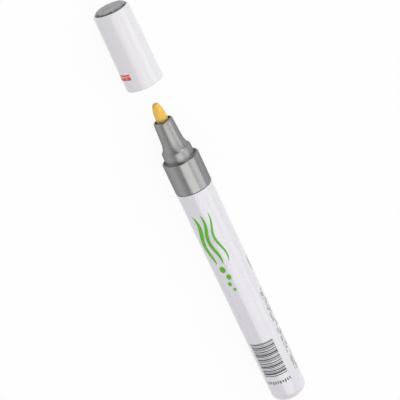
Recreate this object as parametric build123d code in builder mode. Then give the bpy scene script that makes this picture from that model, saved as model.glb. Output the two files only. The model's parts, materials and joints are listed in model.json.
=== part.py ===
from build123d import *
import os

os.makedirs("parts", exist_ok=True)

# The marker lies on its side: its axis runs along X, its nib points to +X, and the cap
# lies in line in front of the nib. Z is up from the table. All sizes are millimetres.

# Fits and cuts
press_clearance = 0.02
running_clearance = 0.08
closing_clearance = 0.05
cut_overrun = 1.0

# Barrel, a closed tube drawn in to a neck under the collar
barrel_diameter = 15.0
barrel_length = 101.8
barrel_wall = 0.6
barrel_end_round = 3.5
neck_step = 0.8
barrel_edge_round_share = 0.4

# Front collar, with a lip and a shallow recess round the nozzle
seam_gap = 0.25
collar_length = 12.75
collar_front_wall = 1.2
lip_width = 1.15
recess_depth = 0.4
recess_width = 0.35
lip_round_share = 0.65
collar_rear_round_share = 0.25

# Nozzle: an inner flange, the base ring with a tapered shoulder, a flare and a cone
nozzle_flange = 1.4
ring_rise = 4.5
ring_straight = 2.6
ring_taper = 0.1
ring_bevel = 0.5
ring_round = 0.4
ring_edge_round_share = 0.3
flare_length = 4.0
flare_rise = 0.95
cone_length = 8.3
cone_taper = 0.45
nozzle_wall = 0.85
nozzle_rim = 0.72
dish_depth = 0.9
cavity_roof = 0.9
cavity_ledge = 0.55
nozzle_front_round_share = 0.9

# Nib
nib_radius = 2.4
nib_protrusion = 7.3
nib_straight = 1.2
nib_taper_round = 6.0
nib_shoulder_radius = 2.12
nib_shoulder_round = 4.0
nib_point = 2.8
nib_tip_radius = 1.15
nib_tip_round = 1.0
nib_travel = 2.0
nib_rear_gap = 0.6

# Nib guide and absorber
guide_wall = 0.5
guide_flange = 0.8
guide_channel_count = 4
guide_channel_width = 0.9
guide_channel_depth = 0.22
absorber_gap = 0.3
absorber_end_gap = 0.2

# Valve: housing, seal, stem, spring and retainer
housing_flange = 1.2
housing_front_wall = 1.2
housing_tube_length = 15.0
housing_wall = 0.8
gasket_thickness = 0.8
gasket_width = 1.2
seal_thickness = 1.0
stem_pin_radius = 1.2
stem_pin_gap = 0.4
stem_head_overlap = 1.1
stem_head_thickness = 1.2
stem_head_gap = 0.6
stem_tail_radius = 0.9
stem_tail_overhang = 0.8
retainer_flange = 0.8
retainer_spigot = 1.5
inlet_count = 4
inlet_radius = 0.6
spring_wire_radius = 0.25
spring_tail_gap = 0.75
spring_turns = 7

# Mixing ball, lying on the tank's wall
ball_radius = 2.75
ball_wall_gap = 0.1
ball_from_rear = 45.0

# Cap: shell, liner and end plug
cap_stand_off = 9.0
cap_taper = 0.4
cap_step = 0.32
cap_mouth_round_share = 0.45
cap_mouth_lead_share = 0.25
cap_end_round_share = 0.7
cap_end_lead_share = 0.15
liner_set_back = 0.8
liner_seal_clearance = 0.1
liner_wall = 0.4
liner_lead = 0.25
liner_end_wall = 1.0
nib_headroom = 2.4
plug_gap = 0.3
plug_spigot = 3.5
plug_rise = 0.9
plug_round_share = 0.7
plug_rim_gap = 0.15
vent_count = 6
vent_radius = 0.55
vent_start_angle = 25

# Radii, worked inwards from the barrel
barrel_radius = barrel_diameter / 2
tank_radius = barrel_radius - barrel_wall
neck_radius = barrel_radius - neck_step
neck_inner_radius = neck_radius - barrel_wall
collar_bore_radius = neck_radius + press_clearance
recess_radius = barrel_radius - lip_width
ring_radius = recess_radius - recess_width
ring_shoulder_radius = ring_radius - ring_taper
collar_hole_radius = ring_radius + press_clearance
nozzle_flange_radius = collar_bore_radius - press_clearance

# Radii, worked outwards from the nib
guide_bore_radius = nib_radius + running_clearance
guide_radius = guide_bore_radius + guide_wall
nozzle_bore_radius = guide_radius + press_clearance
nozzle_front_radius = nozzle_bore_radius + nozzle_wall
cone_base_radius = nozzle_front_radius + cone_taper
flare_radius = cone_base_radius + flare_rise
cavity_radius = nozzle_bore_radius + cavity_ledge

# Radii, worked outwards from the valve stem
stem_hole_radius = stem_pin_radius + stem_pin_gap
stem_head_radius = stem_hole_radius + stem_head_overlap
housing_bore_radius = stem_head_radius + stem_head_gap
housing_radius = housing_bore_radius + housing_wall
retainer_hole_radius = stem_tail_radius + running_clearance
spring_mean_radius = stem_tail_radius + spring_tail_gap + spring_wire_radius

# Radii of the cap, worked outwards from the nozzle's ring that the liner seals on
liner_bore_radius = ring_radius + liner_seal_clearance
liner_radius = liner_bore_radius + liner_wall
cap_bore_radius = liner_radius + press_clearance
cap_end_bore_radius = cap_bore_radius - cap_step
cap_mouth_radius = barrel_radius
cap_end_radius = cap_mouth_radius - cap_taper
cap_mouth_wall = cap_mouth_radius - cap_bore_radius
cap_end_wall = cap_end_radius - cap_end_bore_radius
cap_mouth_lead = cap_mouth_wall * cap_mouth_lead_share
cap_end_lead = cap_end_wall * cap_end_lead_share
plug_head_radius = cap_end_bore_radius - plug_rim_gap
plug_spigot_radius = cap_end_bore_radius - press_clearance

# Lengths along the axis that follow from the pieces inside
nib_reach = ring_rise + flare_length + cone_length + nib_protrusion
cap_length = nib_reach + nib_headroom + liner_end_wall + plug_gap + plug_spigot
marker_length = barrel_length + seam_gap + collar_length + nib_reach
overall_length = marker_length + cap_stand_off + cap_length + plug_rise

# Stations along X, from the rear forwards, with the whole part centred on the origin
rear_x = -overall_length / 2
shoulder_x = rear_x + barrel_length
collar_rear_x = shoulder_x + seam_gap
lip_x = collar_rear_x + collar_length
recess_floor_x = lip_x - recess_depth
front_wall_x = recess_floor_x - collar_front_wall
housing_front_x = front_wall_x - nozzle_flange
flange_rear_x = housing_front_x - housing_flange
neck_end_x = flange_rear_x - gasket_thickness
ring_top_x = lip_x + ring_rise
flare_end_x = ring_top_x + flare_length
nozzle_front_x = flare_end_x + cone_length
dish_floor_x = nozzle_front_x - dish_depth
cavity_roof_x = ring_top_x - cavity_roof
nib_tip_x = nozzle_front_x + nib_protrusion
nib_rear_x = housing_front_x + nib_travel + nib_rear_gap
seal_front_x = housing_front_x - housing_front_wall
seal_rear_x = seal_front_x - seal_thickness
stem_head_front_x = seal_rear_x - closing_clearance
stem_head_rear_x = stem_head_front_x - stem_head_thickness
housing_end_x = flange_rear_x - housing_tube_length
retainer_rear_x = housing_end_x - retainer_flange
retainer_front_x = housing_end_x + retainer_spigot
stem_tail_x = retainer_rear_x - stem_tail_overhang
cap_mouth_x = nib_tip_x + cap_stand_off
cap_end_x = cap_mouth_x + cap_length
liner_mouth_x = cap_mouth_x + liner_set_back
liner_floor_x = cap_mouth_x + nib_reach + nib_headroom
liner_end_x = liner_floor_x + liner_end_wall
plug_inner_x = cap_end_x - plug_spigot
plug_top_x = cap_end_x + plug_rise

# Profiles are drawn as (x, radius) and turned round the marker's axis
axis_height = barrel_radius
marker_axis = Axis((0, 0, axis_height), (1, 0, 0))
profile_plane = Plane(origin=(0, 0, axis_height), x_dir=(1, 0, 0), z_dir=(0, -1, 0))


def cross_plane(x):
    """The plane across the marker's axis at x, facing forwards, with its own y upwards."""
    return Plane(origin=(x, 0, axis_height), x_dir=(0, 1, 0), z_dir=(1, 0, 0))


def turned_ring(start_x, end_x, inner_radius, outer_radius):
    """A plain ring round the marker's axis."""
    with BuildPart() as ring:
        with BuildSketch(profile_plane):
            with BuildLine():
                Polyline(
                    (start_x, inner_radius),
                    (end_x, inner_radius),
                    (end_x, outer_radius),
                    (start_x, outer_radius),
                    close=True,
                )
            make_face()
        revolve(axis=marker_axis)
    return ring


# Barrel
with BuildPart() as barrel:
    with BuildSketch(profile_plane):
        with BuildLine():
            FilletPolyline(
                (rear_x, 0),
                (rear_x, barrel_radius),
                (shoulder_x, barrel_radius),
                (shoulder_x, neck_radius),
                radius=[barrel_end_round, neck_step * barrel_edge_round_share],
            )
            Polyline(
                (shoulder_x, neck_radius),
                (neck_end_x, neck_radius),
                (neck_end_x, neck_inner_radius),
                (shoulder_x - barrel_wall, neck_inner_radius),
                (shoulder_x - barrel_wall, tank_radius),
            )
            FilletPolyline(
                (shoulder_x - barrel_wall, tank_radius),
                (rear_x + barrel_wall, tank_radius),
                (rear_x + barrel_wall, 0),
                radius=[barrel_end_round - barrel_wall],
            )
            Line((rear_x + barrel_wall, 0), (rear_x, 0))
        make_face()
    revolve(axis=marker_axis)
barrel.part.label = "barrel"
export_step(barrel.part, "parts/barrel.step")

# Front collar
with BuildPart() as front_collar:
    with BuildSketch(profile_plane):
        with BuildLine():
            FilletPolyline(
                (collar_rear_x, collar_bore_radius),
                (collar_rear_x, barrel_radius),
                (lip_x, barrel_radius),
                (lip_x, recess_radius),
                radius=[(barrel_radius - collar_bore_radius) * collar_rear_round_share, lip_width * lip_round_share],
            )
            Polyline(
                (lip_x, recess_radius),
                (recess_floor_x, recess_radius),
                (recess_floor_x, collar_hole_radius),
                (front_wall_x, collar_hole_radius),
                (front_wall_x, collar_bore_radius),
                (collar_rear_x, collar_bore_radius),
            )
        make_face()
    revolve(axis=marker_axis)
front_collar.part.label = "front_collar"
export_step(front_collar.part, "parts/front_collar.step")

# Section gasket, between the barrel's mouth and the valve housing's flange
section_gasket = turned_ring(neck_end_x, flange_rear_x, nozzle_flange_radius - gasket_width, nozzle_flange_radius)
section_gasket.part.label = "section_gasket"
export_step(section_gasket.part, "parts/section_gasket.step")

# Nozzle
with BuildPart() as nozzle:
    with BuildSketch(profile_plane):
        with BuildLine():
            Polyline(
                (housing_front_x, cavity_radius),
                (housing_front_x, nozzle_flange_radius),
                (front_wall_x, nozzle_flange_radius),
                (front_wall_x, ring_radius),
                (lip_x + ring_straight, ring_radius),
            )
            FilletPolyline(
                (lip_x + ring_straight, ring_radius),
                (ring_top_x - ring_bevel, ring_shoulder_radius),
                (ring_top_x, ring_shoulder_radius - ring_bevel),
                (ring_top_x, flare_radius),
                radius=[ring_round, ring_round * ring_edge_round_share],
            )
            FilletPolyline(
                (flare_end_x, cone_base_radius),
                (nozzle_front_x, nozzle_front_radius),
                (nozzle_front_x, nozzle_front_radius - nozzle_rim),
                radius=[nozzle_rim * nozzle_front_round_share],
            )
            TangentArc(
                (flare_end_x, cone_base_radius),
                (ring_top_x, flare_radius),
                tangent=(-cone_length, cone_taper),
            )
            Polyline(
                (nozzle_front_x, nozzle_front_radius - nozzle_rim),
                (dish_floor_x, nozzle_bore_radius),
                (cavity_roof_x, nozzle_bore_radius),
                (cavity_roof_x, cavity_radius),
                (housing_front_x, cavity_radius),
            )
        make_face()
    revolve(axis=marker_axis)
nozzle.part.label = "nozzle"
export_step(nozzle.part, "parts/nozzle.step")

# Nib guide, a flanged sleeve pressed into the nozzle from behind
with BuildPart() as nib_guide:
    with BuildSketch(profile_plane):
        with BuildLine():
            Polyline(
                (cavity_roof_x - guide_flange, guide_bore_radius),
                (dish_floor_x, guide_bore_radius),
                (dish_floor_x, guide_radius),
                (cavity_roof_x, guide_radius),
                (cavity_roof_x, cavity_radius - press_clearance),
                (cavity_roof_x - guide_flange, cavity_radius - press_clearance),
                close=True,
            )
        make_face()
    revolve(axis=marker_axis)
    with BuildSketch(cross_plane(cavity_roof_x - guide_flange - cut_overrun)):
        with PolarLocations(guide_radius, guide_channel_count):
            Rectangle(2 * guide_channel_depth, guide_channel_width)
    extrude(amount=dish_floor_x - cavity_roof_x + guide_flange + 2 * cut_overrun, mode=Mode.SUBTRACT)
nib_guide.part.label = "nib_guide"
export_step(nib_guide.part, "parts/nib_guide.step")

# Absorber ring, round the rear of the nib
absorber_ring = turned_ring(
    housing_front_x + absorber_end_gap,
    cavity_roof_x - guide_flange,
    nib_radius + absorber_gap,
    cavity_radius - press_clearance,
)
absorber_ring.part.label = "absorber_ring"
export_step(absorber_ring.part, "parts/absorber_ring.step")

# Nib
with BuildPart() as nib:
    with BuildSketch(profile_plane):
        with BuildLine():
            FilletPolyline(
                (nib_rear_x, nib_radius),
                (nozzle_front_x + nib_straight, nib_radius),
                (nib_tip_x - nib_point, nib_shoulder_radius),
                (nib_tip_x, nib_tip_radius),
                (nib_tip_x, 0),
                radius=[nib_taper_round, nib_shoulder_round, nib_tip_round],
            )
            Polyline((nib_tip_x, 0), (nib_rear_x, 0), (nib_rear_x, nib_radius))
        make_face()
    revolve(axis=marker_axis)
nib.part.label = "nib"
export_step(nib.part, "parts/nib.step")

# Valve housing, a flanged tube that hangs into the tank
with BuildPart() as valve_housing:
    with BuildSketch(profile_plane):
        with BuildLine():
            Polyline(
                (housing_front_x, stem_hole_radius),
                (housing_front_x, nozzle_flange_radius),
                (flange_rear_x, nozzle_flange_radius),
                (flange_rear_x, housing_radius),
                (housing_end_x, housing_radius),
                (housing_end_x, housing_bore_radius),
                (seal_front_x, housing_bore_radius),
                (seal_front_x, stem_hole_radius),
                close=True,
            )
        make_face()
    revolve(axis=marker_axis)
valve_housing.part.label = "valve_housing"
export_step(valve_housing.part, "parts/valve_housing.step")

# Valve seal, against the housing's front wall
valve_seal = turned_ring(seal_rear_x, seal_front_x, stem_hole_radius, housing_bore_radius - press_clearance)
valve_seal.part.label = "valve_seal"
export_step(valve_seal.part, "parts/valve_seal.step")

# Valve stem: a pin that meets the nib, a head that closes the seal and a guided tail
with BuildPart() as valve_stem:
    with BuildSketch(profile_plane):
        with BuildLine():
            Polyline(
                (stem_tail_x, 0),
                (stem_tail_x, stem_tail_radius),
                (stem_head_rear_x, stem_tail_radius),
                (stem_head_rear_x, stem_head_radius),
                (stem_head_front_x, stem_head_radius),
                (stem_head_front_x, stem_pin_radius),
                (nib_rear_x, stem_pin_radius),
                (nib_rear_x, 0),
                close=True,
            )
        make_face()
    revolve(axis=marker_axis)
valve_stem.part.label = "valve_stem"
export_step(valve_stem.part, "parts/valve_stem.step")

# Spring retainer, pressed into the housing's rear, with inlets for the paint
with BuildPart() as spring_retainer:
    with BuildSketch(profile_plane):
        with BuildLine():
            Polyline(
                (retainer_rear_x, retainer_hole_radius),
                (retainer_front_x, retainer_hole_radius),
                (retainer_front_x, housing_bore_radius - press_clearance),
                (housing_end_x, housing_bore_radius - press_clearance),
                (housing_end_x, housing_radius),
                (retainer_rear_x, housing_radius),
                close=True,
            )
        make_face()
    revolve(axis=marker_axis)
    with BuildSketch(cross_plane(retainer_rear_x - cut_overrun)):
        with PolarLocations((retainer_hole_radius + housing_bore_radius) / 2, inlet_count):
            Circle(inlet_radius)
    extrude(amount=retainer_flange + retainer_spigot + 2 * cut_overrun, mode=Mode.SUBTRACT)
spring_retainer.part.label = "spring_retainer"
export_step(spring_retainer.part, "parts/spring_retainer.step")

# Valve spring, between the retainer and the stem's head
spring_start_x = retainer_front_x + closing_clearance + spring_wire_radius
spring_end_x = stem_head_rear_x - closing_clearance - spring_wire_radius
spring_pitch = (spring_end_x - spring_start_x) / spring_turns
with BuildPart() as valve_spring:
    with BuildLine() as spring_coil:
        Helix(
            pitch=spring_pitch,
            height=spring_end_x - spring_start_x,
            radius=spring_mean_radius,
            center=(spring_start_x, 0, axis_height),
            direction=(1, 0, 0),
        )
    with BuildSketch(Plane(origin=spring_coil.line @ 0, z_dir=spring_coil.line % 0)):
        Circle(spring_wire_radius)
    sweep(path=spring_coil.line)
valve_spring.part.label = "valve_spring"
export_step(valve_spring.part, "parts/valve_spring.step")
print("gap between spring turns", round(spring_pitch - 2 * spring_wire_radius, 3))

# Mixing ball
with BuildPart() as mixing_ball:
    with Locations((rear_x + ball_from_rear, 0, axis_height - tank_radius + ball_radius + ball_wall_gap)):
        Sphere(ball_radius)
mixing_ball.part.label = "mixing_ball"
export_step(mixing_ball.part, "parts/mixing_ball.step")

# Cap shell, open at both ends, with a narrower bore for the plug
with BuildPart() as cap_shell:
    with BuildSketch(profile_plane):
        with BuildLine():
            FilletPolyline(
                (cap_mouth_x, cap_bore_radius + cap_mouth_lead),
                (cap_mouth_x, cap_mouth_radius),
                (cap_end_x, cap_end_radius),
                (cap_end_x, cap_end_bore_radius + cap_end_lead),
                radius=[cap_mouth_wall * cap_mouth_round_share, cap_end_wall * cap_end_round_share],
            )
            Polyline(
                (cap_end_x, cap_end_bore_radius + cap_end_lead),
                (cap_end_x - cap_end_lead, cap_end_bore_radius),
                (plug_inner_x, cap_end_bore_radius),
                (plug_inner_x, cap_bore_radius),
                (cap_mouth_x + cap_mouth_lead, cap_bore_radius),
                (cap_mouth_x, cap_bore_radius + cap_mouth_lead),
            )
        make_face()
    revolve(axis=marker_axis)
cap_shell.part.label = "cap_shell"
export_step(cap_shell.part, "parts/cap_shell.step")

# Cap liner, a cup that seals on the nozzle's ring
with BuildPart() as cap_liner:
    with BuildSketch(profile_plane):
        with BuildLine():
            Polyline(
                (liner_mouth_x, liner_bore_radius + liner_lead),
                (liner_mouth_x, liner_radius),
                (liner_end_x, liner_radius),
                (liner_end_x, 0),
                (liner_floor_x, 0),
                (liner_floor_x, liner_bore_radius),
                (liner_mouth_x + liner_lead, liner_bore_radius),
                close=True,
            )
        make_face()
    revolve(axis=marker_axis)
cap_liner.part.label = "cap_liner"
export_step(cap_liner.part, "parts/cap_liner.step")

# Cap plug, with vent notches in its rim
with BuildPart() as cap_plug:
    with BuildSketch(profile_plane):
        with BuildLine():
            Polyline(
                (cap_end_x, plug_head_radius),
                (cap_end_x - cap_end_lead, plug_head_radius),
                (cap_end_x - cap_end_lead, plug_spigot_radius),
                (plug_inner_x, plug_spigot_radius),
                (plug_inner_x, 0),
                (plug_top_x, 0),
            )
            FilletPolyline(
                (plug_top_x, 0),
                (plug_top_x, plug_head_radius),
                (cap_end_x, plug_head_radius),
                radius=[plug_rise * plug_round_share],
            )
        make_face()
    revolve(axis=marker_axis)
    with BuildSketch(cross_plane(plug_inner_x - cut_overrun)):
        with PolarLocations(plug_head_radius, vent_count, start_angle=vent_start_angle):
            Circle(vent_radius)
    extrude(amount=plug_spigot + plug_rise + 2 * cut_overrun, mode=Mode.SUBTRACT)
cap_plug.part.label = "cap_plug"
export_step(cap_plug.part, "parts/cap_plug.step")
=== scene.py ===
import bpy
import json
import math
import numpy as np
from mathutils import Matrix, Vector


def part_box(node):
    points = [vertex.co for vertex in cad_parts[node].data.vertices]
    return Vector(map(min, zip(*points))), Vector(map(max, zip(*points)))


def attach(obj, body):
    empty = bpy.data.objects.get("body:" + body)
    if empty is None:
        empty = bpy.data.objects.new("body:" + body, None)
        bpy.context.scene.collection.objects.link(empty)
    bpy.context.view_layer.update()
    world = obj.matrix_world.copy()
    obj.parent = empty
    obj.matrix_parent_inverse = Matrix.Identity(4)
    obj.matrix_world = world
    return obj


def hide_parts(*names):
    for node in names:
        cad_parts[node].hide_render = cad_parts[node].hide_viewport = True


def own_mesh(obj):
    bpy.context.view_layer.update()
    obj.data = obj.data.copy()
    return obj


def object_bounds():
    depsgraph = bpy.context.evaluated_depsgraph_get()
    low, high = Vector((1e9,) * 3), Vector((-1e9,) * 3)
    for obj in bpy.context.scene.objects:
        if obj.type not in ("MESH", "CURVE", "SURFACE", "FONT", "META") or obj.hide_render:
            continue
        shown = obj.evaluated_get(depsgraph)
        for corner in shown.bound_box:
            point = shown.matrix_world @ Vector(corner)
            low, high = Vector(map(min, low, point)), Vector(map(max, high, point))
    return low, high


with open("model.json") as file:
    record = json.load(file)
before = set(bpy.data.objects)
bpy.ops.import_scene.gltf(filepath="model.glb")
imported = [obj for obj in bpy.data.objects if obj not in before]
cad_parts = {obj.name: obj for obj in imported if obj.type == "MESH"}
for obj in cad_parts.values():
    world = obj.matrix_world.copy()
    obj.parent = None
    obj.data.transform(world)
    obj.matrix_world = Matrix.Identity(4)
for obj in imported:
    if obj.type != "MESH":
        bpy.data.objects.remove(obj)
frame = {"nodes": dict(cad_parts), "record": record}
cadLow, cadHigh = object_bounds()
print("frame loaded")

# Sizes are millimetres in the part's own frame, and mm turns them into metres.
# The marker's axis runs along X at axisHeight over the table.
mm = 0.001
axisHeight = 7.5


# Shape helpers

def unit(vector):
    return vector / np.linalg.norm(vector)


def angleOf(vector):
    return math.atan2(vector[1], vector[0])


def wrapAngle(angle):
    # the same angle, between -pi and pi
    return (angle + math.pi) % (2 * math.pi) - math.pi


def roundAngles(count):
    # count even steps of a full turn
    return 2 * math.pi * np.arange(count) / count


def straightRun(start, end, step, slack=1e-9):
    # evenly spaced points from start up to, and not at, end
    count = int(np.ceil(np.linalg.norm(end - start) / step - slack))
    return start + (end - start) * (np.arange(count) / max(count, 1))[:, None]


def roundedPath(corners, rounds, step=0.9, arcStep=7, leastSteps=4):
    # straight runs (x, r) whose corner i is an arc of radius rounds[i] that touches both runs
    corners = np.asarray(corners, float)
    found, start = [], corners[0]
    for i in range(1, len(corners)):
        radius = rounds.get(i, 0)
        if not radius:
            found.append(straightRun(start, corners[i], step))
            start = corners[i]
            continue
        back, ahead = unit(corners[i - 1] - corners[i]), unit(corners[i + 1] - corners[i])
        half = math.acos(back @ ahead) / 2
        first = corners[i] + back * radius / math.tan(half)
        last = corners[i] + ahead * radius / math.tan(half)
        centre = corners[i] + unit(back + ahead) * radius / math.sin(half)
        begin = angleOf(first - centre)
        turn = wrapAngle(angleOf(last - centre) - begin)
        count = max(leastSteps, int(np.ceil(abs(turn) / math.radians(arcStep))))
        angles = begin + turn * np.arange(count) / count
        found.append(straightRun(start, first, step))
        found.append(centre + radius * np.column_stack([np.cos(angles), np.sin(angles)]))
        start = last
    return np.vstack(found + [corners[-1:]])


def tangentArc(start, direction, end, count):
    # the arc from start to end whose tangent at start is direction
    start, end = np.asarray(start, float), np.asarray(end, float)
    along = unit(np.asarray(direction, float))
    side = np.array([-along[1], along[0]])
    chord = end - start
    radius = (chord @ chord) / (2 * (side @ chord))
    centre = start + side * radius
    begin = angleOf(start - centre)
    turn = wrapAngle(angleOf(end - centre) - begin)
    angles = begin + turn * np.linspace(0, 1, count)
    return centre + abs(radius) * np.column_stack([np.cos(angles), np.sin(angles)])


def gridQuads(rows, columns, wrapRows, wrapColumns):
    # quads of a grid whose point (i, j) has the index i * columns + j
    i = np.arange(rows if wrapRows else rows - 1)[:, None]
    j = np.arange(columns if wrapColumns else columns - 1)[None, :]
    nextI, nextJ = (i + 1) % rows, (j + 1) % columns
    corners = [i * columns + j, i * columns + nextJ, nextI * columns + nextJ, nextI * columns + j]
    return np.stack(np.broadcast_arrays(*corners), -1).reshape(-1, 4)


def endFans(rows, count):
    # triangles that join the first and last row of a grid to two poles, which follow its points
    j = np.arange(count)
    nextJ, first, end = (j + 1) % count, rows * count, (rows - 1) * count
    near = np.stack([np.full(count, first), nextJ, j], -1)
    far = np.stack([np.full(count, first + 1), end + j, end + nextJ], -1)
    return near.tolist() + far.tolist()


def roundAxis(x, r, angle):
    # the radius r turned by the angle a from the top towards -Y: (x, -r sin a, axisHeight + r cos a)
    return np.stack([x, -r * np.sin(angle), axisHeight + r * np.cos(angle)], -1).reshape(-1, 3)


def turnedSurface(path, angles, shape=None):
    # The path (x, r) turned round the axis. One that ends where it starts is a ring, and any other
    # starts and ends on the axis, where it is closed by poles. shape(x, r, a) may change the radius.
    ring = np.allclose(path[0], path[-1])
    rows = path[:-1] if ring else path[1:-1]
    count = len(angles)
    x, r = np.repeat(rows[:, :1], count, 1), np.repeat(rows[:, 1:], count, 1)
    if shape:
        r = shape(x, r, angles[None, :])
    points = roundAxis(x, r, angles)
    faces = gridQuads(len(rows), count, ring, True).tolist()
    if not ring:
        faces += endFans(len(rows), count)
        poles = [[path[0, 0], 0, axisHeight], [path[-1, 0], 0, axisHeight]]
        points = np.vstack([points, poles])
    return points, faces


def signedVolume(points, faces):
    # sum of a . (b x c) over the triangles, which is positive where a closed shell's faces look outwards
    total = 0.0
    for size in (3, 4):
        chosen = np.array([f for f in faces if len(f) == size], int)
        if len(chosen):
            a = points[chosen[:, 0]]
            for k in range(1, size - 1):
                b, c = points[chosen[:, k]], points[chosen[:, k + 1]]
                total += np.einsum("ij,ij->i", a, np.cross(b, c)).sum()
    return total


def makePiece(name, points, faces, finishes, body, replaced=(), places=None, sharp=32):
    # a closed shell, smooth up to sharp degrees, where places gives the number of each face's finish
    if signedVolume(points - points.mean(0), faces) < 0:
        faces = [f[::-1] for f in faces]
    mesh = bpy.data.meshes.new(name)
    mesh.from_pydata((points * mm).tolist(), [], faces)
    for finish in finishes:
        mesh.materials.append(materials[finish])
    if places is not None:
        mesh.polygons.foreach_set("material_index", np.asarray(places, np.int32))
    mesh.shade_smooth()
    mesh.set_sharp_from_angle(angle=math.radians(sharp))
    mesh.update()
    piece = bpy.data.objects.new(name, mesh)
    bpy.context.scene.collection.objects.link(piece)
    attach(piece, body)
    if replaced:
        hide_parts(*replaced)
    return piece


# Material helpers

def addNode(tree, kind, inputs=None, **settings):
    node = tree.nodes.new(kind)
    for key, value in settings.items():
        setattr(node, key, value)
    for key, value in (inputs or {}).items():
        node.inputs[key].default_value = value
    return node


def newMaterial(name, sockets):
    made = bpy.data.materials.new(name)
    made.use_nodes = True
    shader = made.node_tree.nodes["Principled BSDF"]
    for key, value in sockets.items():
        shader.inputs[key].default_value = value
    return made, made.node_tree, shader


def noiseField(tree, scale, detail=3.0, rough=0.55):
    # noise on object coordinates, with its own scale per metre along X, Y and Z
    place = addNode(tree, "ShaderNodeTexCoord")
    mapping = addNode(tree, "ShaderNodeMapping", {"Scale": scale})
    noise = addNode(tree, "ShaderNodeTexNoise", {"Scale": 1.0, "Detail": detail, "Roughness": rough})
    tree.links.new(place.outputs["Object"], mapping.inputs["Vector"])
    tree.links.new(mapping.outputs["Vector"], noise.inputs["Vector"])
    return noise.outputs["Fac"]


def coordinate(tree, kind, axis):
    # one axis of a kind of texture coordinates, and Object is in metres
    place = addNode(tree, "ShaderNodeTexCoord")
    split = addNode(tree, "ShaderNodeSeparateXYZ")
    tree.links.new(place.outputs[kind], split.inputs["Vector"])
    return split.outputs[axis]


def spread(tree, field, low, high, start=0.3, end=0.7):
    # maps a field from start..end to low..high, where most of a noise lies in 0.3..0.7
    ends = {"From Min": start, "From Max": end, "To Min": low, "To Max": high}
    node = addNode(tree, "ShaderNodeMapRange", ends)
    tree.links.new(field, node.inputs["Value"])
    return node.outputs["Result"]


def blendColours(tree, field, first, second):
    # the Mix node has one set of sockets per data type, and those of a colour are inputs 6 and 7, output 2
    mix = addNode(tree, "ShaderNodeMix", data_type="RGBA")
    for socket, value in ((mix.inputs[6], first), (mix.inputs[7], second)):
        if isinstance(value, tuple):
            socket.default_value = (*value, 1.0)
        else:
            tree.links.new(value, socket)
    tree.links.new(field, mix.inputs[0])
    return mix.outputs[2]


def bumpFrom(tree, shader, field, strength, distance):
    bump = addNode(tree, "ShaderNodeBump", {"Strength": strength, "Distance": distance})
    tree.links.new(field, bump.inputs["Height"])
    tree.links.new(bump.outputs["Normal"], shader.inputs["Normal"])


def mottledMaterial(name, look):
    # two near colours and two near roughnesses mixed by noise, a fine bump, and a painted shade (a darker
    # colour standing in for shade) before shadeSpan in X
    made, tree, shader = newMaterial(name, look["sockets"])
    broad = noiseField(tree, look["broadScale"])
    fine = noiseField(tree, look["fineScale"], detail=4.0)
    colour = blendColours(tree, spread(tree, broad, 0, 1), look["first"], look["second"])
    # the shade is painted shade: a darker colour blended in before shadeSpan in X
    if "shade" in look:
        shaded = spread(tree, coordinate(tree, "Object", "X"), 1, 0, *look["shadeSpan"])
        colour = blendColours(tree, shaded, colour, look["shade"])
    tree.links.new(colour, shader.inputs["Base Color"])
    low, high = look["roughness"]
    tree.links.new(spread(tree, fine, low, high), shader.inputs["Roughness"])
    bumpFrom(tree, shader, fine, look["bump"], look["bumpDepth"])
    return made


# Materials, with colours as linear light and spans in metres

def inkLook(first, second, roughness):
    # the inks differ in colour and gloss only
    return {
        "first": first, "second": second, "roughness": roughness,
        "broadScale": (500, 900, 900), "fineScale": (3500, 3500, 3500), "bump": 0.1, "bumpDepth": 0.00002,
        "sockets": {"IOR": 1.48},
    }


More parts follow.
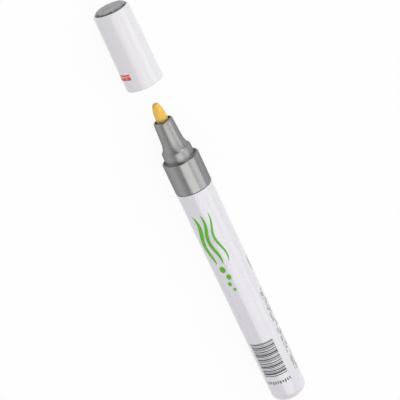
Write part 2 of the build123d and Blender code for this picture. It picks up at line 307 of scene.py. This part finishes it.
looks = {
    "lacquer": {
        "first": (0.66, 0.648, 0.696), "second": (0.672, 0.66, 0.708), "roughness": (0.24, 0.34),
        "broadScale": (12, 160, 160), "fineScale": (900, 2200, 2200), "bump": 0.05, "bumpDepth": 0.00003,
        "sockets": {"IOR": 1.5, "Coat Weight": 0.75, "Coat Roughness": 0.09},
    },
    "bareMetal": {
        "first": (0.55, 0.55, 0.56), "second": (0.66, 0.66, 0.67), "roughness": (0.3, 0.45),
        "broadScale": (60, 300, 300), "fineScale": (300, 5000, 5000), "bump": 0.1, "bumpDepth": 0.00003,
        "sockets": {"Metallic": 1.0},
    },
    "silver": {
        "first": (0.284, 0.284, 0.287), "second": (0.312, 0.312, 0.314), "roughness": (0.25, 0.34),
        "broadScale": (40, 220, 220), "fineScale": (2500, 6000, 6000), "bump": 0.06, "bumpDepth": 0.00003,
        "sockets": {"Metallic": 1.0, "Specular Tint": (0.55, 0.55, 0.56, 1.0)},
    },
    "darkPlastic": {
        "first": (0.045, 0.04, 0.034), "second": (0.065, 0.058, 0.05), "roughness": (0.4, 0.55),
        "broadScale": (300, 300, 300), "fineScale": (3000, 3000, 3000), "bump": 0.1, "bumpDepth": 0.00003,
        "sockets": {"IOR": 1.49},
    },
    "whiteFelt": {
        "first": (0.72, 0.69, 0.6), "second": (0.82, 0.79, 0.71), "roughness": (0.85, 0.95),
        "broadScale": (900, 900, 900), "fineScale": (2500, 7000, 7000), "bump": 0.5, "bumpDepth": 0.0001,
        "sockets": {"Sheen Weight": 0.3},
    },
    "rubber": {
        "first": (0.018, 0.018, 0.019), "second": (0.03, 0.03, 0.031), "roughness": (0.5, 0.7),
        "broadScale": (400, 400, 400), "fineScale": (4000, 4000, 4000), "bump": 0.15, "bumpDepth": 0.00004,
        "sockets": {"IOR": 1.5},
    },
    "naturalPlastic": {
        "first": (0.7, 0.71, 0.69), "second": (0.77, 0.78, 0.76), "roughness": (0.32, 0.46),
        "broadScale": (150, 150, 150), "fineScale": (2600, 2600, 2600), "bump": 0.08, "bumpDepth": 0.00003,
        "sockets": {"IOR": 1.5, "Subsurface Weight": 0.15, "Subsurface Radius": (0.001, 0.001, 0.001)},
    },
    "springSteel": {
        "first": (0.42, 0.42, 0.44), "second": (0.55, 0.55, 0.57), "roughness": (0.22, 0.36),
        "broadScale": (500, 500, 500), "fineScale": (6000, 6000, 6000), "bump": 0.1, "bumpDepth": 0.00002,
        "sockets": {"Metallic": 1.0},
    },
    "ballSteel": {
        "first": (0.57, 0.57, 0.59), "second": (0.62, 0.62, 0.64), "roughness": (0.06, 0.13),
        "broadScale": (300, 300, 300), "fineScale": (5000, 5000, 5000), "bump": 0.03, "bumpDepth": 0.00002,
        "sockets": {"Metallic": 1.0},
    },
    "capPlastic": {
        "first": (0.68, 0.669, 0.708), "second": (0.7, 0.689, 0.728), "roughness": (0.3, 0.42),
        "broadScale": (30, 140, 140), "fineScale": (1500, 2200, 2200), "bump": 0.06, "bumpDepth": 0.00003,
        "sockets": {"IOR": 1.49, "Coat Weight": 0.8, "Coat Roughness": 0.1},
    },
    # The plug's shade is painted shade: a darker colour on the side wall of its head, in the gap under the
    # cap's end
    "plugPlastic": {
        "first": (0.19, 0.19, 0.196), "second": (0.38, 0.38, 0.387), "roughness": (0.4, 0.55),
        "broadScale": (250, 260, 900), "fineScale": (3500, 3500, 3500), "bump": 0.2, "bumpDepth": 0.00005,
        "sockets": {"IOR": 1.49}, "shade": (0.13, 0.13, 0.134), "shadeSpan": (0.0892, 0.0899),
    },
    "greenInk": inkLook((0.1, 0.4, 0.014), (0.125, 0.45, 0.022), (0.35, 0.5)),
    "darkInk": inkLook((0.045, 0.043, 0.05), (0.075, 0.072, 0.08), (0.4, 0.55)),
    "sageInk": inkLook((0.17, 0.21, 0.16), (0.22, 0.26, 0.2), (0.4, 0.55)),
    "redInk": inkLook((0.62, 0.05, 0.05), (0.7, 0.075, 0.07), (0.35, 0.5)),
}
# The nozzle's shade is painted shade: its silver turns darker at the ring's foot in the collar's recess,
# where shade falls
looks["nozzleSilver"] = {
    **looks["silver"], "roughness": (0.3, 0.4), "shade": (0.16, 0.16, 0.163), "shadeSpan": (0.0246, 0.0268),
}
materials = {name: mottledMaterial(name, look) for name, look in looks.items()}


# Nib felt: pressed fibres along the nib, soaked with paint, darker where it leaves the nozzle
nibLook = {
    "light": (0.85, 0.555, 0.125), "deep": (0.755, 0.44, 0.07), "darkerBase": (0.4, 0.26, 0.05),
    "darkerBaseSpan": (0.0413, 0.0432), "blotchScale": (500, 900, 900), "fibreScale": (1500, 6500, 6500),
    "bump": 0.5, "bumpDepth": 0.00012,
    "sockets": {"Roughness": 0.8, "Sheen Weight": 0.15, "Subsurface Weight": 0.1,
                "Subsurface Radius": (0.0008, 0.0004, 0.0001)},
}


def feltMaterial(name, look):
    made, tree, shader = newMaterial(name, look["sockets"])
    blotch = noiseField(tree, look["blotchScale"], detail=4.0)
    fibre = noiseField(tree, look["fibreScale"], detail=5.0, rough=0.65)
    colour = blendColours(tree, spread(tree, blotch, 0, 1), look["light"], look["deep"])
    # the felt takes a darker colour towards the nozzle's mouth, fading out by the end of its span
    darkerBase = spread(tree, coordinate(tree, "Object", "X"), 1, 0, *look["darkerBaseSpan"])
    tree.links.new(blendColours(tree, darkerBase, colour, look["darkerBase"]), shader.inputs["Base Color"])
    bumpFrom(tree, shader, fibre, look["bump"], look["bumpDepth"])
    return made


materials["nibFelt"] = feltMaterial("nibFelt", nibLook)
print("materials made")


# In the pieces' values, runStep and arcStep are the widest steps along a profile, in millimetres and degrees,
# and around is the number of points round the axis.

# Barrel: lacquered outside from the rear to its shoulder, bare metal on the neck and inside
barrelSizes = {
    "rear": -90.05, "shoulder": 11.4, "neckEnd": 19.75, "radius": 7.5, "neck": 6.7, "wall": 0.6,
    "endRound": 3.5, "edgeRound": 0.25, "runStep": 1.5, "around": 224,
}


def buildBarrel(v):
    inner, neckInner = v["radius"] - v["wall"], v["neck"] - v["wall"]
    innerRear, innerShoulder = v["rear"] + v["wall"], v["shoulder"] - v["wall"]
    corners = [
        (v["rear"], 0), (v["rear"], v["radius"]), (v["shoulder"], v["radius"]), (v["shoulder"], v["neck"]),
        (v["neckEnd"], v["neck"]), (v["neckEnd"], neckInner), (innerShoulder, neckInner),
        (innerShoulder, inner), (innerRear, inner), (innerRear, 0),
    ]
    rounds = {1: v["endRound"], 2: v["edgeRound"], 8: v["endRound"] - v["wall"]}
    path = roundedPath(corners, rounds, v["runStep"])
    points, faces = turnedSurface(path, roundAngles(v["around"]))
    # each face's row along the path, with the fans of both ends last, and bare metal from the neck's foot on
    lastRow = len(path) - 3
    rows = np.concatenate([np.arange(lastRow), [0, lastRow]]).repeat(v["around"])
    neckFoot = np.argmin(np.hypot(path[:, 0] - v["shoulder"], path[:, 1] - v["neck"])) - 1
    makePiece("barrelTube", points, faces, ["lacquer", "bareMetal"], "marker", ["barrel"],
              (rows >= neckFoot).astype(int))


buildBarrel(barrelSizes)


# Front collar: a sleeve with a rounded lip, and a recess round the nozzle
collarSizes = {
    "rear": 11.6, "lip": 24.75, "recessFloor": 24.2, "frontWall": 23.15, "radius": 7.5, "bore": 6.72,
    "recess": 6.76, "hole": 6.02, "rearRound": 0.16, "lipRound": 0.4, "innerRound": 0.12, "around": 224,
}


def buildCollar(v):
    corners = [
        (v["rear"], v["bore"]), (v["rear"], v["radius"]), (v["lip"], v["radius"]), (v["lip"], v["recess"]),
        (v["recessFloor"], v["recess"]), (v["recessFloor"], v["hole"]), (v["frontWall"], v["hole"]),
        (v["frontWall"], v["bore"]), (v["rear"], v["bore"]),
    ]
    path = roundedPath(corners, {1: v["rearRound"], 2: v["lipRound"], 3: v["innerRound"]})
    points, faces = turnedSurface(path, roundAngles(v["around"]))
    makePiece("frontCollar", points, faces, ["silver"], "marker", ["front_collar"])


buildCollar(collarSizes)


# Nozzle: inner flange, foot with a cove that fills the collar's recess, base ring with a tapered shoulder,
# flare, cone, and a rounded front with the bore
nozzleSizes = {
    "rear": 21.75, "frontWall": 23.15, "footRear": 24.27, "footFront": 24.52, "ringStraight": 27.35,
    "ringTop": 29.25, "flareEnd": 33.25, "front": 41.55, "dish": 40.65, "cavityRoof": 28.35,
    "flange": 6.7, "foot": 6.74, "ring": 6.0, "shoulder": 5.9, "bevel": 0.5, "flare": 5.25,
    "coneBase": 4.3, "coneFront": 3.85, "rim": 0.72, "bore": 3.0, "cavity": 3.55,
    "coveRound": 0.7, "shoulderRound": 0.4, "edgeRound": 0.12, "frontRound": 0.648,
    "flarePoints": 12, "around": 192,
}


def buildNozzle(v):
    flareFoot, flareTop = (v["ringTop"], v["flare"]), (v["flareEnd"], v["coneBase"])
    lower = roundedPath(
        [(v["rear"], v["cavity"]), (v["rear"], v["flange"]), (v["frontWall"], v["flange"]),
         (v["frontWall"], v["ring"]), (v["footRear"], v["ring"]), (v["footRear"], v["foot"]),
         (v["footFront"], v["foot"]), (v["footFront"], v["ring"]), (v["ringStraight"], v["ring"]),
         (v["ringTop"] - v["bevel"], v["shoulder"]), (v["ringTop"], v["shoulder"] - v["bevel"]), flareFoot],
        {7: v["coveRound"], 9: v["shoulderRound"], 10: v["edgeRound"]},
    )
    taper = (v["flareEnd"] - v["front"], v["coneBase"] - v["coneFront"])
    flare = tangentArc(flareTop, taper, flareFoot, v["flarePoints"])[::-1]
    upper = roundedPath(
        [flareTop, (v["front"], v["coneFront"]), (v["front"], v["coneFront"] - v["rim"]),
         (v["dish"], v["bore"]), (v["cavityRoof"], v["bore"]), (v["cavityRoof"], v["cavity"]),
         (v["rear"], v["cavity"])],
        {1: v["frontRound"]},
    )
    path = np.vstack([lower[:-1], flare[:-1], upper])
    points, faces = turnedSurface(path, roundAngles(v["around"]))
    makePiece("nozzleCone", points, faces, ["nozzleSilver"], "marker", ["nozzle"])


buildNozzle(nozzleSizes)


# Nib: a bullet of pressed felt, whose radius wavers by a sum of sines along and round it.
# A wave is its lobes round the nib, its radians per millimetre along it, and its phase.
nibSizes = {
    "rear": 24.35, "taperStart": 42.75, "point": 46.05, "tip": 48.85, "radius": 2.4, "pointRadius": 2.12,
    "tipRadius": 1.15, "taperRound": 6.0, "pointRound": 4.0, "tipRound": 1.0, "waver": 0.006,
    "waverFrom": 42.0, "waves": ((9, 2.1, 0), (14, -3.7, 0), (23, 6.3, 1)), "runStep": 0.25, "arcStep": 4,
    "around": 160, "sharp": 60,
}


def buildNib(v):
    corners = [(v["rear"], 0), (v["rear"], v["radius"]), (v["taperStart"], v["radius"]),
               (v["point"], v["pointRadius"]), (v["tip"], v["tipRadius"]), (v["tip"], 0)]
    rounds = {2: v["taperRound"], 3: v["pointRound"], 4: v["tipRound"]}
    path = roundedPath(corners, rounds, v["runStep"], v["arcStep"])

    def wavering(x, r, angle):
        # r (1 + waver (s - n)) past waverFrom, with s the sum of the n waves sin(lobes a + rate x + phase),
        # so that the nib is nowhere thicker than its profile
        total = sum(np.sin(lobes * angle + rate * x + phase) for lobes, rate, phase in v["waves"])
        return r * (1 + v["waver"] * (total - len(v["waves"])) * (x > v["waverFrom"]))

    points, faces = turnedSurface(path, roundAngles(v["around"]), wavering)
    makePiece("nibFelt", points, faces, ["nibFelt"], "plunger", ["nib"], sharp=v["sharp"])


buildNib(nibSizes)


# Cap shell: a tapered tube, open at both ends, with a step in its bore, rounded edges and lead-ins
capSizes = {
    "mouth": 57.85, "end": 89.15, "mouthRadius": 7.5, "endRadius": 7.1, "bore": 6.52, "boreStep": 85.65,
    "endBore": 6.2, "mouthLead": 0.245, "endLead": 0.135, "mouthRound": 0.44, "endRound": 0.63,
    "runStep": 1.2, "around": 224,
}


def buildCap(v):
    start = (v["mouth"], v["bore"] + v["mouthLead"])
    corners = [
        start, (v["mouth"], v["mouthRadius"]), (v["end"], v["endRadius"]),
        (v["end"], v["endBore"] + v["endLead"]), (v["end"] - v["endLead"], v["endBore"]),
        (v["boreStep"], v["endBore"]), (v["boreStep"], v["bore"]),
        (v["mouth"] + v["mouthLead"], v["bore"]), start,
    ]
    path = roundedPath(corners, {1: v["mouthRound"], 2: v["endRound"]}, v["runStep"])
    points, faces = turnedSurface(path, roundAngles(v["around"]))
    makePiece("capShell", points, faces, ["capPlastic"], "cap", ["cap_shell"])


buildCap(capSizes)


# Cap plug: a rounded disc on a spigot, with vent notches of radius n centred on its rim c. Within a notch the
# wall is at c cos(d) - sqrt(n^2 - (c sin(d))^2), with d the angle from its middle, and r loses
# (c - wall) (r / c)^fade.
plugSizes = {
    "inner": 85.65, "capEnd": 89.15, "top": 90.05, "spigot": 6.18, "head": 5.88, "headRound": 0.63,
    "groove": 0.6, "notch": 0.55, "notchAngles": (-65, -5, 55, 115, 175, 235), "notchReach": 5.4,
    "notchPoints": 41, "notchFade": 6, "runStep": 0.5, "around": 160,
}


def buildPlug(v):
    grooveFloor = v["capEnd"] - v["groove"]
    corners = [(v["inner"], 0), (v["inner"], v["spigot"]), (grooveFloor, v["spigot"]),
               (grooveFloor, v["head"]), (v["top"], v["head"]), (v["top"], 0)]
    path = roundedPath(corners, {4: v["headRound"]}, v["runStep"])
    middles = np.radians(v["notchAngles"])
    reach = math.radians(v["notchReach"]) * np.linspace(-1, 1, v["notchPoints"])
    angles = np.concatenate([roundAngles(v["around"]), (middles[:, None] + reach).ravel()]) % (2 * math.pi)
    angles = np.unique(np.round(angles, 6))  # angles that fall together become one

    def notched(x, r, angle):
        for middle in middles:
            off = wrapAngle(angle - middle)
            room = v["notch"] ** 2 - (v["head"] * np.sin(off)) ** 2
            inside = (room > 0) & (np.abs(off) < 1)  # and not on the far side, where the sine is small too
            depth = v["head"] * (1 - np.cos(off)) + np.sqrt(np.maximum(room, 0))
            r = np.where(inside, r - depth * (r / v["head"]) ** v["notchFade"], r)
        return r

    points, faces = turnedSurface(path, angles, notched)
    makePiece("capPlug", points, faces, ["plugPlastic"], "cap", ["cap_plug"])


buildPlug(plugSizes)
print("turned pieces built")


# Valve spring: a wire of round section along the helix x = start + (end - start) t, a = 2 pi turns t.
springSizes = {
    "start": 7.35, "end": 18.0, "turns": 7, "radius": 1.9, "wire": 0.25, "fixedEnd": 7.05, "travel": 2.0,
    "stepsPerTurn": 48, "around": 16,
}


def buildSpring(v):
    t = np.linspace(0, 1, v["turns"] * v["stepsPerTurn"] + 1)
    rise, turn = v["end"] - v["start"], 2 * math.pi * v["turns"]
    sine, cosine, zero = np.sin(turn * t), np.cos(turn * t), np.zeros_like(t)
    outward = np.stack([zero, -sine, cosine], -1)
    centre = np.stack([v["start"] + rise * t, zero, zero + axisHeight], -1) + v["radius"] * outward
    along = np.stack([zero + rise, -v["radius"] * turn * cosine, -v["radius"] * turn * sine], -1)
    side = np.cross(along / np.linalg.norm(along, axis=1)[:, None], outward)
    b = roundAngles(v["around"])[None, :, None]
    section = np.cos(b) * outward[:, None, :] + np.sin(b) * side[:, None, :]
    points = np.vstack([(centre[:, None, :] + v["wire"] * section).reshape(-1, 3), centre[[0, -1]]])
    faces = gridQuads(len(t), v["around"], False, True).tolist() + endFans(len(t), v["around"])
    piece = makePiece("valveSpring", points, faces, ["springSteel"], "marker",
                      ["valve_spring"])
    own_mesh(piece)


buildSpring(springSizes)


# Mixing ball: the half circle (x - R cos p, R sin p) turned round its own axis, at the place and size
# of its node
ballSizes = {"steps": 48, "around": 96}


def buildBall(v):
    low, high = (np.array(corner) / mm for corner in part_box("mixing_ball"))
    centre, radius = (low + high) / 2, (high - low).max() / 2
    p = np.linspace(0, math.pi, v["steps"] + 1)
    path = np.column_stack([centre[0] - radius * np.cos(p), radius * np.sin(p)])
    points, faces = turnedSurface(path, roundAngles(v["around"]))
    points[:, 2] += centre[2] - axisHeight
    makePiece("mixingBall", points, faces, ["ballSteel"], "ball", ["mixing_ball"])


buildBall(ballSizes)
print("spring and ball built")


# Prints: thin closed shells of ink on the barrel and the cap. A place is (x, w), with w the length
# round the surface from its top line towards -Y. A block has blockRows points along X, and cells up to
# cell wide round the surface. A line swells towards its middle by a power of a sine.
inkSizes = {"proud": 0.03, "sunk": 0.05, "blockRows": 3, "cell": 0.35, "swell": 0.6}


def barrelRadius(x):
    return np.full_like(x, barrelSizes["radius"])


def capRadius(x):
    # falls evenly from the mouth to the end
    v = capSizes
    return v["mouthRadius"] + (v["endRadius"] - v["mouthRadius"]) * (x - v["mouth"]) / (v["end"] - v["mouth"])


def inkShell(x, w, radiusAt):
    # sheets at r + proud and r - sunk over a grid of places, closed by a wall round the edge
    rows, columns = x.shape
    radius = radiusAt(x)
    sheets = [roundAxis(x, radius + lift, w / radius) for lift in (inkSizes["proud"], -inkSizes["sunk"])]
    count = rows * columns
    index = np.arange(count).reshape(rows, columns)
    edge = np.concatenate([index[0, :-1], index[:-1, -1], index[-1, :0:-1], index[:0:-1, 0]])
    after = np.roll(edge, -1)
    top = gridQuads(rows, columns, False, False)
    wall = np.stack([after, edge, edge + count, after + count], -1)
    return np.vstack(sheets), np.vstack([top, top[:, ::-1] + count, wall])


def inkBlock(x0, x1, w0, w1, radiusAt):
    # the places from x0 to x1 and from w0 to w1
    columns = max(2, int(np.ceil(abs(w1 - w0) / inkSizes["cell"])) + 1)
    x, w = np.linspace(x0, x1, inkSizes["blockRows"]), np.linspace(w0, w1, columns)
    return inkShell(*np.meshgrid(x, w, indexing="ij"), radiusAt)


def inkLine(x, w, least, widest, radiusAt, across=7):
    # a line (x, w) widened at right angles to both sides by least + widest sin(pi t)^swell
    half = least + widest * np.sin(math.pi * np.linspace(0, 1, len(x))) ** inkSizes["swell"]
    dx, dw = np.gradient(x), np.gradient(w)
    length = np.hypot(dx, dw)
    side = np.linspace(-1, 1, across)[None, :] * half[:, None]
    return inkShell(x[:, None] - side * (dw / length)[:, None], w[:, None] + side * (dx / length)[:, None],
                    radiusAt)


def inkSpot(x, w, reachX, reachW, radiusAt, count=17):
    # a square grid (p, q) pressed into a disc: (p sqrt(1 - q^2 / 2), q sqrt(1 - p^2 / 2))
    p, q = np.meshgrid(np.linspace(-1, 1, count), np.linspace(-1, 1, count), indexing="ij")
    return inkShell(x + reachX * p * np.sqrt(1 - q * q / 2), w + reachW * q * np.sqrt(1 - p * p / 2),
                    radiusAt)


def joinShells(name, shells, finish, body):
    # one piece of all the shells of a print
    points = np.vstack([p for p, f in shells])
    starts = np.cumsum([0] + [len(p) for p, f in shells[:-1]])
    faces = np.vstack([f + s for (p, f), s in zip(shells, starts)])
    makePiece(name, points, faces.tolist(), [finish], body)


def uneven(pace, index):
    # frac(pace index), which makes an even count into an uneven row between 0 and 1
    return (pace * index) % 1


# Green waves and spots: wave k is w = middle + swing sin(2 pi turns t + phaseStep k)
waveSizes = {
    "front": 2.0, "rear": -20.5, "middles": (-6.1, -3.2, -0.3), "widest": (0.95, 0.7, 0.45), "swing": 0.9,
    "turns": 1.25, "phaseStep": 0.55, "leastHalf": 0.06, "points": 90, "spotX": (-23.2, -26.9, -30.1, -32.9),
    "spotW": (-3.9, -2.7, -3.6, -2.6), "spotReach": (1.5, 1.25, 1.0, 0.75), "spotNarrow": 0.8,
}


def buildWaves(v):
    t = np.linspace(0, 1, v["points"])
    x = v["front"] + (v["rear"] - v["front"]) * t
    shells = []
    for k, (middle, widest) in enumerate(zip(v["middles"], v["widest"])):
        w = middle + v["swing"] * np.sin(2 * math.pi * v["turns"] * t + k * v["phaseStep"])
        shells.append(inkLine(x, w, v["leastHalf"], widest, barrelRadius))
    for spotX, spotW, reach in zip(v["spotX"], v["spotW"], v["spotReach"]):
        shells.append(inkSpot(spotX, spotW, reach, reach * v["spotNarrow"], barrelRadius))
    joinShells("wavePrint", shells, "greenInk", "marker")


buildWaves(waveSizes)


# Uneven bars across the barrel, which code nothing, and a row of short dashes behind them.
# Bar i is thin + thick frac(pace i)^2 wide, the gap after it is small + large frac(gapPace i), and dash k is
# dashShort + dashLong frac(pace k) long.
barSizes = {
    "front": -59.75, "rear": -76.3, "left": -7.8, "right": 2.6, "count": 23, "thin": 0.2, "thick": 0.7,
    "small": 0.22, "large": 0.45, "pace": 0.618, "gapPace": 0.755, "dashX": -78.9, "dashes": 11,
    "dashLeft": -8.4, "dashRight": 2.2, "dashShort": 0.9, "dashLong": 0.7, "dashWide": 0.52,
}


def buildBars(v):
    i = np.arange(v["count"])
    widths = v["thin"] + v["thick"] * uneven(v["pace"], i) ** 2
    gaps = v["small"] + v["large"] * uneven(v["gapPace"], i)
    gaps[-1] = 0
    stretch = (v["front"] - v["rear"]) / (widths.sum() + gaps.sum())
    starts = v["front"] - stretch * np.concatenate([[0], np.cumsum(widths + gaps)[:-1]])
    shells = [inkBlock(x, x - stretch * wide, v["left"], v["right"], barrelRadius)
              for x, wide in zip(starts, widths)]
    for k, w in enumerate(np.linspace(v["dashLeft"], v["dashRight"], v["dashes"])):
        length = v["dashShort"] + v["dashLong"] * uneven(v["pace"], k)
        shells.append(inkBlock(v["dashX"], v["dashX"] - length, w, w + v["dashWide"], barrelRadius))
    joinShells("barPrint", shells, "darkInk", "marker")


buildBars(barSizes)


# Rows of plain dashes along the barrel's side, and a bowed stroke in front of them. Dash i of row k has the
# length short + long frac(pace (i + rowShift k)), and is left out where frac(skipAlong i + skipAcross k) is
# not over skip.
sideSizes = {
    "front": -38.5, "rear": -80.0, "rows": (6.9, 7.6, 8.3, 9.0), "short": 0.5, "long": 2.4, "gap": 0.5,
    "half": 0.19, "count": 19, "pace": 0.618, "rowShift": 5, "skipAlong": 0.41, "skipAcross": 0.27,
    "skip": 0.3, "strokeFront": -23.3, "strokeRear": -30.4, "strokeW": 9.4, "strokeBow": 0.35,
    "strokeLeast": 0.05, "strokeHalf": 0.3, "strokePoints": 40,
}


def buildSideRows(v):
    shells = []
    for k, w in enumerate(v["rows"]):
        lengths = v["short"] + v["long"] * uneven(v["pace"], np.arange(v["count"]) + v["rowShift"] * k)
        ends = v["front"] - np.cumsum(lengths + v["gap"])
        for i, (end, length) in enumerate(zip(ends, lengths)):
            if end > v["rear"] and (v["skipAlong"] * i + v["skipAcross"] * k) % 1 > v["skip"]:
                shells.append(inkBlock(end + length, end, w - v["half"], w + v["half"], barrelRadius))
    t = np.linspace(0, 1, v["strokePoints"])
    strokeX = v["strokeFront"] + (v["strokeRear"] - v["strokeFront"]) * t
    strokeW = v["strokeW"] - v["strokeBow"] * np.sin(math.pi * t)
    shells.append(inkLine(strokeX, strokeW, v["strokeLeast"], v["strokeHalf"], barrelRadius))
    joinShells("sidePrint", shells, "sageInk", "marker")


buildSideRows(sideSizes)


# A small red mark near the cap's mouth: a bar over three blocks
markSizes = {"front": 63.0, "rear": 65.4, "left": -10.4, "right": -4.3, "bar": 0.7, "gap": 0.25, "blocks": 3}


def buildMark(v):
    barFront = v["rear"] - v["bar"]
    shells = [inkBlock(barFront, v["rear"], v["left"], v["right"], capRadius)]
    pitch = (v["right"] - v["left"] + v["gap"]) / v["blocks"]
    for start in v["left"] + np.arange(v["blocks"]) * pitch:
        shells.append(inkBlock(v["front"], barFront - v["gap"], start, start + pitch - v["gap"], capRadius))
    joinShells("capMark", shells, "redInk", "cap")


buildMark(markSizes)
print("prints built")


# The CAD nodes get their materials by slot, which shows on those that no piece replaces
slotLooks = {
    "dark_plastic": "darkPlastic", "white_felt": "whiteFelt", "black_rubber": "rubber",
    "natural_plastic": "naturalPlastic", "spring_steel": "springSteel", "ball_steel": "ballSteel",
    "barrel_lacquer": "lacquer", "silver_satin": "silver", "nib_felt": "nibFelt", "cap_white": "capPlastic",
    "plug_grey": "plugPlastic",
}
for part in frame["record"]["subparts"]:
    for slot in frame["nodes"][part["node"]].material_slots:
        slot.material = materials[slotLooks[part["material_slot"]]]
print("node materials assigned")


# Floor: a pale sheet that reads as white, with a part of it lit so that it keeps the shadow. Sizes of the
# stage are metres.
floorSizes = {
    "half": 4.0, "lit": 0.08, "colour": (0.86, 0.86, 0.87), "grain": 0.985, "grainScale": (40, 40, 40),
    "roughness": 0.9,
}


def buildFloor(v):
    half, z = v["half"], cadLow.z
    corners = [(-half, -half, z), (half, -half, z), (half, half, z), (-half, half, z)]
    mesh = bpy.data.meshes.new("floor")
    mesh.from_pydata(corners, [], [(0, 1, 2, 3)])
    made, tree, shader = newMaterial("floorPaper", {"Roughness": v["roughness"]})
    darker = tuple(c * v["grain"] for c in v["colour"])
    paper = blendColours(tree, noiseField(tree, v["grainScale"]), v["colour"], darker)
    tree.links.new(paper, shader.inputs["Base Color"])
    # white to rays from the camera, a gloss or a glass, apart from the lit share
    path = addNode(tree, "ShaderNodeLightPath")
    seen = path.outputs["Is Camera Ray"]
    for name in ("Is Glossy Ray", "Is Transmission Ray"):
        either = addNode(tree, "ShaderNodeMath", operation="MAXIMUM")
        tree.links.new(seen, either.inputs[0])
        tree.links.new(path.outputs[name], either.inputs[1])
        seen = either.outputs[0]
    share = addNode(tree, "ShaderNodeMath", {1: 1 - v["lit"]}, operation="MULTIPLY")
    tree.links.new(seen, share.inputs[0])
    glow = addNode(tree, "ShaderNodeEmission", {"Color": (1, 1, 1, 1), "Strength": 1.0})
    mix = addNode(tree, "ShaderNodeMixShader")
    tree.links.new(share.outputs[0], mix.inputs[0])
    tree.links.new(shader.outputs[0], mix.inputs[1])
    tree.links.new(glow.outputs[0], mix.inputs[2])
    tree.links.new(mix.outputs[0], tree.nodes["Material Output"].inputs["Surface"])
    mesh.materials.append(made)
    floor = bpy.data.objects.new("floor", mesh)
    bpy.context.scene.collection.objects.link(floor)


buildFloor(floorSizes)


# Light: a world that is brighter near the horizon, three softboxes over the marker, a long weak fill on its
# far side, and two smaller softboxes in front of the nib. The angle of a lamp is measured round the marker
# from its top towards -Y, and lean is the sine of its tip towards the nib.
lightSizes = {
    "horizon": 0.6, "zenith": 0.05, "lowSine": 0.15, "highSine": 0.7,
    "worldColour": (0.975, 0.968, 1.0), "lampColour": (1.0, 0.998, 0.972),
    "target": (0.0, 0.0, 0.0075), "distance": 1.1,
    "lamps": {
        "topLamp": {"angle": 3, "lean": -0.477, "length": 0.45, "across": 1.08, "radiance": 2.25},
        "noseLamp": {"angle": 3, "lean": -0.009, "length": 0.65, "across": 1.08, "radiance": 1.6},
        "sideLamp": {"angle": 56, "lean": -0.148, "length": 1.0, "across": 0.78, "radiance": 1.62},
        "fillLamp": {"angle": -62, "lean": 0.1, "length": 2.0, "across": 1.32, "radiance": 0.57},
        "frontLamp": {"angle": 26, "lean": 0.574, "length": 0.64, "across": 0.9, "radiance": 1.6},
        "lowLamp": {"angle": 59, "lean": 0.879, "length": 0.42, "across": 0.6, "radiance": 2.3},
    },
}


def buildLights(v):
    world = bpy.data.worlds.new("studio")
    bpy.context.scene.world = world
    world.use_nodes = True
    tree = world.node_tree
    sky = tree.nodes["Background"]
    sky.inputs["Color"].default_value = (*v["worldColour"], 1.0)
    height = coordinate(tree, "Generated", "Z")
    level = spread(tree, height, v["horizon"], v["zenith"], v["lowSine"], v["highSine"])
    tree.links.new(level, sky.inputs["Strength"])
    target = Vector(v["target"])
    for name, lampSizes in v["lamps"].items():
        angle, lean = math.radians(lampSizes["angle"]), lampSizes["lean"]
        rest = math.sqrt(1 - lean ** 2)
        away = Vector((lean, -rest * math.sin(angle), rest * math.cos(angle)))
        lamp = bpy.data.lights.new(name, "AREA")
        lamp.color = v["lampColour"]
        lamp.shape = "RECTANGLE"
        lamp.size, lamp.size_y = lampSizes["length"], lampSizes["across"]
        lamp.energy = lampSizes["radiance"] * math.pi * lampSizes["length"] * lampSizes["across"]  # watts
        holder = bpy.data.objects.new(name, lamp)
        holder.visible_camera = False
        bpy.context.scene.collection.objects.link(holder)
        along = (Vector((1, 0, 0)) - away * away.x).normalized()
        across = away.cross(along)
        turn = Matrix((along, across, away)).transposed().to_4x4()
        holder.matrix_world = Matrix.Translation(target + away * v["distance"]) @ turn


buildLights(lightSizes)


# Camera: looks down at the marker from the nib's side. The marker's axis is tipped from the picture plane
# by tilt and turned in it by roll, and anchor lies at the given pixel of a 400 by 400 picture.
cameraSizes = {
    "tilt": 22.5, "roll": 64.8, "focal": 1500.0, "side": 400.0, "sensor": 36.0, "distance": 0.5823,
    "anchor": (0.01175, 0.0, 0.0075), "pixel": (193.34, 185.77), "clip": (0.01, 50.0),
}


def buildCamera(v):
    tilt, roll = math.radians(v["tilt"]), math.radians(v["roll"])
    ahead = Vector((-math.sin(tilt), 0, -math.cos(tilt)))
    along, across = Vector((math.cos(tilt), 0, -math.sin(tilt))), Vector((0, -1, 0))
    right = -math.cos(roll) * along + math.sin(roll) * across
    down = -math.sin(roll) * along - math.cos(roll) * across
    shift = [(p - v["side"] / 2) * v["distance"] / v["focal"] for p in v["pixel"]]
    place = Vector(v["anchor"]) - shift[0] * right - shift[1] * down - v["distance"] * ahead
    lens = bpy.data.cameras.new("photoCamera")
    lens.sensor_width = v["sensor"]
    lens.lens = v["sensor"] * v["focal"] / v["side"]
    lens.clip_start, lens.clip_end = v["clip"]
    camera = bpy.data.objects.new("photoCamera", lens)
    bpy.context.scene.collection.objects.link(camera)
    turn = Matrix((right, -down, -ahead)).transposed().to_4x4()
    camera.matrix_world = Matrix.Translation(place) @ turn
    bpy.context.scene.camera = camera


buildCamera(cameraSizes)
bpy.context.scene.view_settings.view_transform = "Standard"
print("stage built")
